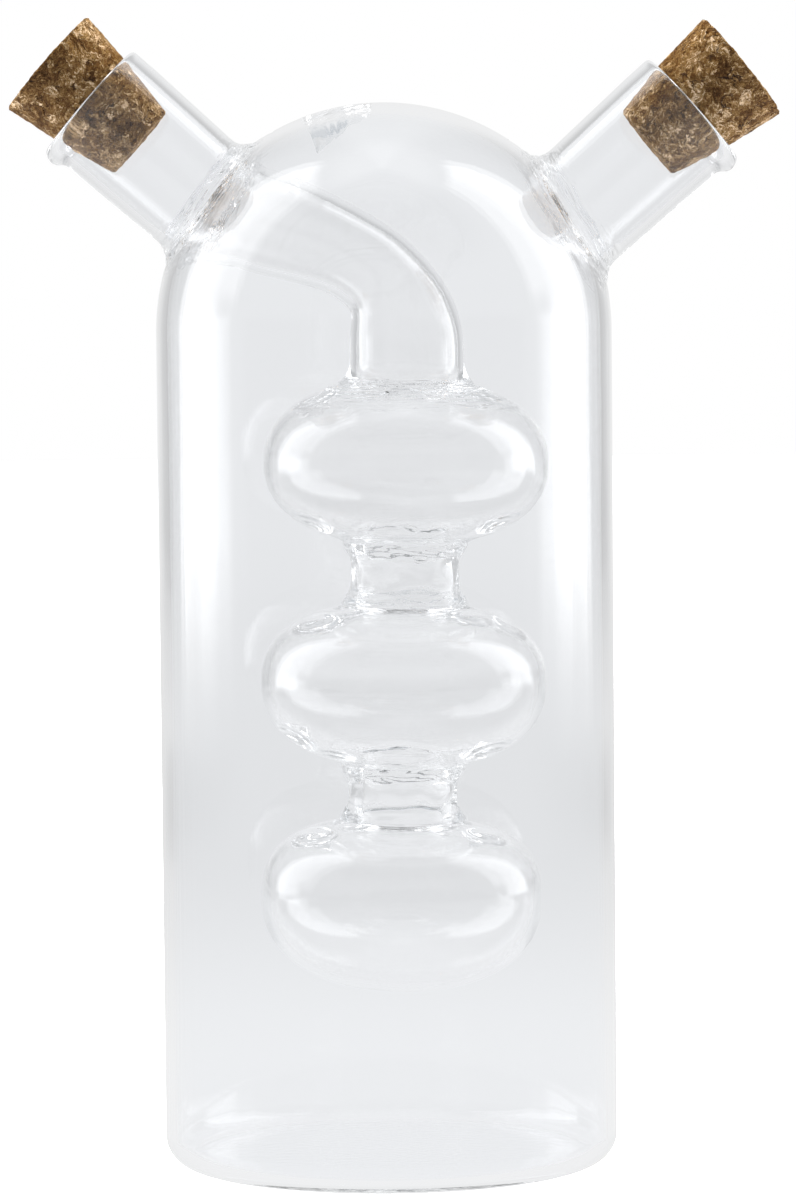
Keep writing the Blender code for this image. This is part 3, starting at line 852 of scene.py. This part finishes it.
def clear_glass(name, tint):
    """Clear borosilicate glass. Lamplight passes it to reach the corks and the floor, and so
    does light that has run to and fro inside the wall for long."""
    material, tree = new_material(name)
    worked = node(tree, "ShaderNodeGroup", node_tree=WORKED_GLASS, inputs={
        "Wave Scale": WAVE_SCALE, "Line Scale": LINE_SCALE,
    })
    glass = node(tree, "ShaderNodeBsdfPrincipled", {
        "Base Color": tint,
        "Roughness": 0,
        "IOR": GLASS_IOR,
        "Transmission Weight": 1,
        "Normal": bumped(tree, worked.outputs["Height"], WORKED_RELIEF),
    })
    clear = node(tree, "ShaderNodeBsdfTransparent", {"Color": PASSED_TINT})
    path = node(tree, "ShaderNodeLightPath").outputs
    passing = maths(tree, "MAXIMUM", path["Is Shadow Ray"], path["Is Diffuse Ray"])
    trapped = maths(tree, "GREATER_THAN", path["Ray Depth"], TRAPPED_DEPTH)
    surface = mixed(tree, maths(tree, "MAXIMUM", passing, trapped), glass, clear)
    node(tree, "ShaderNodeOutputMaterial", {"Surface": surface.outputs[0]})
    return material


# Cork: scale, detail and roughness of the textures of its grain
SHRED_SCALE = 400
GRAIN_SCALE = 1500
BEND_TEXTURE = (400, 3, 0.6)
GRAIN_DETAIL = (5, 0.68)
FINE_TEXTURE = (4200, 3, 0.7)
VEIN_TEXTURE = (520, 3)
PATCH_TEXTURE = (210, 2)
BEND_REACH = 0.0042
GRAIN_STRETCH = 0.88

# Cork: shares of the textures in its tone and height, and where cracks, veins and pores show
SHRED_SHARE, GRAIN_SHARE, FINE_SHARE, PATCH_SHARE = 0.14, 1.00, 0.45, 0.25
TONE_MIDDLE = 0.93
TONE_CONTRAST = 2.1
CRACK_WIDTH = (0, 0.07)
CRACK_PLACES = (0.50, 0.64)
VEIN_RANGE = (0.58, 0.88)
PORE_RANGE = (0.42, 0.34)
FINE_RELIEF, DARK_RELIEF = 0.4, 0.6
CORK_RELIEF = 0.0005
CORK_IOR = 1.35
CORK_SPECULAR = 0.3
CORK_ROUGHNESS = (0.95, 0.72)
CORK_TONES = (
    (0.06, (0.028, 0.011, 0.002, 1)),
    (0.34, (0.060, 0.027, 0.006, 1)),
    (0.62, (0.132, 0.074, 0.023, 1)),
    (0.95, (0.420, 0.312, 0.205, 1)),
)
CORK_CRACK = (0.016, 0.006, 0.002, 1)


def cork_grain_group():
    """Ground cork: shreds of bark, each with its own grain, dark cracks and pores between them."""
    group, given = new_group(
        "cork grain",
        {"Shred Scale": "Float", "Grain Scale": "Float", "Offset": "Vector"},
        {"Tone": "Float", "Crack": "Float", "Height": "Float"},
    )
    place = node(group, "ShaderNodeTexCoord").outputs["Object"]
    moved = vector_maths(group, "ADD", place, given["Offset"])
    bend = noise_texture(group, moved, *BEND_TEXTURE)
    shift = vector_maths(group, "SCALE", bend.outputs["Color"], scale=BEND_REACH)
    bent = vector_maths(group, "ADD", moved, shift)
    shreds, edges = (
        node(
            group, "ShaderNodeTexVoronoi", {"Vector": bent, "Scale": given["Shred Scale"]},
            feature=feature,
        )
        for feature in ("F1", "DISTANCE_TO_EDGE")
    )

    way = vector_maths(group, "SUBTRACT", shreds.outputs["Color"], (0.5, 0.5, 0.5))
    way = vector_maths(group, "NORMALIZE", way)
    along = maths(group, "MULTIPLY", vector_maths(group, "DOT_PRODUCT", bent, way), GRAIN_STRETCH)
    drawn_out = vector_maths(group, "SCALE", way, scale=along)
    grain_place = vector_maths(group, "SUBTRACT", bent, drawn_out)
    grain = noise_texture(group, grain_place, given["Grain Scale"], *GRAIN_DETAIL)
    fine = noise_texture(group, bent, *FINE_TEXTURE)
    veins = noise_texture(
        group, grain_place, *VEIN_TEXTURE, noise_type="RIDGED_MULTIFRACTAL", normalize=True
    )
    patches = noise_texture(group, moved, *PATCH_TEXTURE)

    shred_tone = node(group, "ShaderNodeSeparateColor", {0: shreds.outputs["Color"]})
    tone = maths(group, "MULTIPLY", shred_tone.outputs[1], SHRED_SHARE)
    for texture, share in ((grain, GRAIN_SHARE), (fine, FINE_SHARE), (patches, PATCH_SHARE)):
        tone = maths(group, "ADD", tone, maths(group, "MULTIPLY", texture.outputs[0], share))
    tone = maths(group, "MULTIPLY", maths(group, "SUBTRACT", tone, TONE_MIDDLE), TONE_CONTRAST)

    crack = maths(
        group, "MULTIPLY",
        smooth_range(group, edges.outputs["Distance"], *CRACK_WIDTH, 1, 0),
        smooth_range(group, bend.outputs[0], *CRACK_PLACES),
    )
    vein = smooth_range(group, veins.outputs[0], *VEIN_RANGE)
    pores = smooth_range(group, fine.outputs[0], *PORE_RANGE)
    dark = maths(group, "MAXIMUM", crack, maths(group, "MAXIMUM", vein, pores))
    fine_relief = maths(group, "MULTIPLY", fine.outputs[0], FINE_RELIEF)
    raised = maths(group, "ADD", grain.outputs[0], fine_relief)
    sunk = maths(group, "MULTIPLY", dark, DARK_RELIEF)
    node(group, "NodeGroupOutput", {
        "Tone": maths(group, "ADD", tone, 0.5, clamp=True),
        "Crack": dark,
        "Height": maths(group, "SUBTRACT", raised, sunk),
    })
    return group


def cork_material(name, offset):
    material, tree = new_material(name)
    grain = node(tree, "ShaderNodeGroup", node_tree=CORK_GRAIN, inputs={
        "Shred Scale": SHRED_SCALE,
        "Grain Scale": GRAIN_SCALE,
        "Offset": (offset, offset / 2, -offset),
    })
    ramp = node(tree, "ShaderNodeValToRGB", {"Fac": grain.outputs["Tone"]})
    elements = ramp.color_ramp.elements
    for share, _ in CORK_TONES[1:-1]:
        elements.new(share)
    for element, (share, tone) in zip(elements, CORK_TONES):
        element.position, element.color = share, tone
    colour = blended(tree, grain.outputs["Crack"], ramp.outputs["Color"], CORK_CRACK, "RGBA")
    cork = node(tree, "ShaderNodeBsdfPrincipled", {
        "Base Color": colour,
        "Metallic": 0,
        "Roughness": smooth_range(tree, grain.outputs["Tone"], 0, 1, *CORK_ROUGHNESS),
        "IOR": CORK_IOR,
        "Specular IOR Level": CORK_SPECULAR,
        "Normal": bumped(tree, grain.outputs["Height"], CORK_RELIEF),
    })
    node(tree, "ShaderNodeOutputMaterial", {"Surface": cork.outputs["BSDF"]})
    return material


# Studio, as the glass sees it: levels of light, bearings in degrees from straight behind, and
# rises in degrees. A band ends with the softness of its two edges. The softboxes are dimmed low
# down straight beside the bottle, so that they don't whiten it in side views.
BACKDROP_LIGHT = 0.872
BACKDROP_EDGE = (8, 32)
SIDE_LIGHT = 0.58
FRONT_LIGHT = 0.50
FRONT_EDGE = (95, 125)
FRONT_HIGH_LIGHT = 0.15
FRONT_HIGH_RISE = (24, 50)
SOFTBOX_LIGHT = 1.35
SOFTBOX_CORE_LIGHT = 0.55
SOFTBOX_BAND = (54, 97, 1.5, 1.5)
SOFTBOX_CORE_BAND = (54, 82, 1.5, 1.5)
SOFTBOX_RISE_BAND = (-12.5, 66, 5, 3)
SOFTBOX_DIMMED = 0.15
DIMMED_BAND = (85, 110, 3, 3)
DIMMED_RISE_BAND = (-30, 12, 5, 5)
TOP_LIGHT = 0.5
TOP_RISE = (60, 80)

# The floor, as the glass sees it: levels of light, and distances from the bottle's axis
FLOOR_Z = -0.0002
FLOOR_RADIUS = 3.0
FLOOR_SIDES = 128
WHITE = (1, 1, 1, 1)
FLOOR_COLOUR = (0.8, 0.8, 0.8, 1)
FLOOR_GLOW = 0.55
NEAR_FLOOR_LIGHT = 0.885
MIDDLE_FLOOR_LIGHT = 0.788
NEAR_TO_MIDDLE = (0.10, 0.45)
MIDDLE_TO_FAR = (0.62, 2.1)
FLANK_SHADE = 0.12
FLANK_BAND = (24, 90, 10, 12)
FLANK_SHADE_START = (0.40, 0.58)
FLANK_SHADE_END = (0.62, 0.88)

# Lamps for the corks and the floor
LAMP_SIZE = (0.5, 0.9)
LAMP_POWER = 50
LAMPS = {"left": (-1.1, 0.25, 0.35), "right": (1.1, 0.25, 0.35), "top": (0, 0.25, 1.2)}


def angle_range(tree, angle, low, high, start=0, end=1):
    """smooth_range between two angles in degrees."""
    return smooth_range(tree, angle, math.radians(low), math.radians(high), start, end)


def angle_band(tree, angle, low, high, soft_low, soft_high):
    """1 between two angles in degrees, with soft edges."""
    rising = angle_range(tree, angle, low - soft_low, low + soft_low)
    falling = angle_range(tree, angle, high - soft_high, high + soft_high, 1, 0)
    return maths(tree, "MULTIPLY", rising, falling)


def studio_group():
    """The light that comes from a direction: white behind, a tall softbox at each side and some
    light from the top. The flank is where the floor is shaded."""
    group, given = new_group(
        "studio", {"Direction": "Vector"}, {"Light": "Float", "Flank": "Float"}
    )
    parts = node(group, "ShaderNodeSeparateXYZ", {0: given["Direction"]}).outputs
    wide = maths(group, "ABSOLUTE", maths(group, "ARCTAN2", parts["X"], parts["Y"]))
    rise = maths(group, "ARCSINE", parts["Z"])
    back = angle_range(group, wide, *BACKDROP_EDGE, BACKDROP_LIGHT, SIDE_LIGHT)
    front = angle_range(group, wide, *FRONT_EDGE)
    front_level = angle_range(
        group, rise, *FRONT_HIGH_RISE, FRONT_LIGHT - SIDE_LIGHT, FRONT_HIGH_LIGHT - SIDE_LIGHT
    )
    around = maths(group, "ADD", back, maths(group, "MULTIPLY", front, front_level))

    whole_box = angle_band(group, wide, *SOFTBOX_BAND)
    core = angle_band(group, wide, *SOFTBOX_CORE_BAND)
    box = maths(
        group, "ADD",
        maths(group, "MULTIPLY", whole_box, SOFTBOX_LIGHT),
        maths(group, "MULTIPLY", core, SOFTBOX_CORE_LIGHT),
    )
    box = maths(group, "MULTIPLY", box, angle_band(group, rise, *SOFTBOX_RISE_BAND))
    beside = angle_band(group, wide, *DIMMED_BAND)
    beside = maths(group, "MULTIPLY", beside, angle_band(group, rise, *DIMMED_RISE_BAND))
    dimming = maths(group, "MULTIPLY", beside, SOFTBOX_DIMMED - 1)
    box = maths(group, "MULTIPLY", box, maths(group, "ADD", dimming, 1))
    top = angle_range(group, rise, *TOP_RISE, 0, TOP_LIGHT)
    node(group, "NodeGroupOutput", {
        "Light": maths(group, "ADD", maths(group, "ADD", around, box), top),
        "Flank": angle_band(group, wide, *FLANK_BAND),
    })
    return group


def studio_world():
    """The studio's light, and plain white where the camera looks past the bottle."""
    world = bpy.data.worlds.new("studio")
    bpy.context.scene.world = world
    world.use_nodes = True
    tree = world.node_tree
    tree.nodes.clear()
    direction = node(tree, "ShaderNodeTexCoord").outputs["Generated"]
    studio = node(tree, "ShaderNodeGroup", node_tree=STUDIO, inputs={"Direction": direction})
    path = node(tree, "ShaderNodeLightPath")
    seen = blended(tree, path.outputs["Is Camera Ray"], studio.outputs["Light"], 1)
    shader = node(tree, "ShaderNodeBackground", {"Color": WHITE, "Strength": seen})
    node(tree, "ShaderNodeOutputWorld", {"Surface": shader.outputs[0]})


def floor_material():
    """Plain white for the camera. The glass sees a floor that is bright near the bottle, shaded
    at its flanks and like the studio far out."""
    material, tree = new_material("floor")
    place = node(tree, "ShaderNodeTexCoord").outputs["Object"]
    away = vector_maths(tree, "LENGTH", place)
    studio = node(tree, "ShaderNodeGroup", node_tree=STUDIO, inputs={"Direction": place})
    near = smooth_range(tree, away, *NEAR_TO_MIDDLE, NEAR_FLOOR_LIGHT, MIDDLE_FLOOR_LIGHT)
    shade = smooth_range(tree, away, *FLANK_SHADE_START, 0, FLANK_SHADE)
    passed = smooth_range(tree, away, *FLANK_SHADE_END, 1, 0)
    passed = maths(tree, "MULTIPLY", passed, studio.outputs["Flank"])
    near = maths(tree, "SUBTRACT", near, maths(tree, "MULTIPLY", shade, passed))
    far = smooth_range(tree, away, *MIDDLE_TO_FAR)
    level = blended(tree, far, near, studio.outputs["Light"])
    through = node(tree, "ShaderNodeEmission", {"Color": WHITE, "Strength": level})

    pale = node(tree, "ShaderNodeBsdfDiffuse", {"Color": FLOOR_COLOUR})
    glow = node(tree, "ShaderNodeEmission", {"Color": WHITE, "Strength": FLOOR_GLOW})
    seen = node(tree, "ShaderNodeAddShader", {0: pale.outputs[0], 1: glow.outputs[0]})
    path = node(tree, "ShaderNodeLightPath").outputs
    mirrored = maths(tree, "MAXIMUM", path["Is Glossy Ray"], path["Is Transmission Ray"])
    surface = mixed(tree, path["Is Diffuse Ray"], mixed(tree, mirrored, seen, through), pale)
    node(tree, "ShaderNodeOutputMaterial", {"Surface": surface.outputs[0]})
    return material


def studio_floor():
    """A wide pale floor that keeps the bottle's shadow."""
    bm = bmesh.new()
    bmesh.ops.create_circle(bm, cap_ends=True, radius=FLOOR_RADIUS, segments=FLOOR_SIDES)
    mesh = bpy.data.meshes.new("floor")
    bm.to_mesh(mesh)
    bm.free()
    mesh.materials.append(floor_material())
    floor = add_object("floor", mesh)
    floor.location.z = FLOOR_Z


def fill_lamp(name, place):
    """A soft lamp aimed at the bottle's shoulder, which glass doesn't mirror."""
    light = bpy.data.lights.new(name, "AREA")
    light.shape = "RECTANGLE"
    light.size, light.size_y = LAMP_SIZE
    light.energy = LAMP_POWER
    lamp = add_object(name, light)
    lamp.location = place
    aim = Vector((0, 0, BODY_STRAIGHT)) - Vector(place)
    lamp.rotation_euler = aim.to_track_quat("-Z", "Y").to_euler()
    lamp.visible_glossy = lamp.visible_transmission = lamp.visible_camera = False


# Camera, in the photograph's pixels: its size, where the bottle's axis stands in it, and the
# camera's focal length
PHOTO_WIDTH, PHOTO_HEIGHT = 796, 1200
AXIS_PIXEL = 386.5
FOCAL_PIXELS = 5456
SENSOR_WIDTH = 36
CAMERA_PLACE = (0, -0.90, 0.152)
CAMERA_PITCH = math.radians(3.73)
CAMERA_ROLL = math.radians(-0.55)
CAMERA_YAW = math.atan((PHOTO_WIDTH / 2 - AXIS_PIXEL) / FOCAL_PIXELS)


def photo_camera():
    forward = Vector((
        math.sin(CAMERA_YAW) * math.cos(CAMERA_PITCH),
        math.cos(CAMERA_YAW) * math.cos(CAMERA_PITCH),
        -math.sin(CAMERA_PITCH),
    ))
    level = Vector((math.cos(CAMERA_YAW), -math.sin(CAMERA_YAW), 0))
    over = level.cross(forward)
    right = math.cos(CAMERA_ROLL) * level + math.sin(CAMERA_ROLL) * over
    up = math.cos(CAMERA_ROLL) * over - math.sin(CAMERA_ROLL) * level
    data = bpy.data.cameras.new("camera")
    data.lens = FOCAL_PIXELS / PHOTO_HEIGHT * SENSOR_WIDTH
    data.clip_start = 0.01
    camera = add_object("camera", data)
    turn = Matrix((right, up, -forward)).transposed().to_4x4()
    camera.matrix_world = Matrix.Translation(CAMERA_PLACE) @ turn
    bpy.context.scene.camera = camera


def render_settings():
    bpy.context.scene.view_settings.view_transform = "Standard"
    cycles = bpy.context.scene.cycles
    cycles.max_bounces = cycles.transmission_bounces = 24
    cycles.glossy_bounces = 12
    cycles.diffuse_bounces = 3
    cycles.transparent_max_bounces = 32
    cycles.caustics_reflective = cycles.caustics_refractive = False
    cycles.use_denoising = True


WORKED_GLASS = worked_glass_group()
CORK_GRAIN = cork_grain_group()
STUDIO = studio_group()
vinegar_neck = NeckAxis(side=-1, drop=0.0040, length=0.0239, hole_edge=0, seed=3.7)
oil_neck = NeckAxis(side=1, drop=0.0088, length=0.0253, hole_edge=0.0013, seed=11.3)
flask_glass_piece((vinegar_neck, oil_neck))
inner_glass_piece(vinegar_neck)
cork_piece("vinegar_stopper", vinegar_neck, proud=0.0094, tilt=0, seed=4.0)
cork_piece("oil_stopper", oil_neck, proud=0.0108, tilt=math.radians(2.9), seed=9.0)
studio_world()
studio_floor()
for name, place in LAMPS.items():
    fill_lamp(f"{name} lamp", place)
photo_camera()
render_settings()
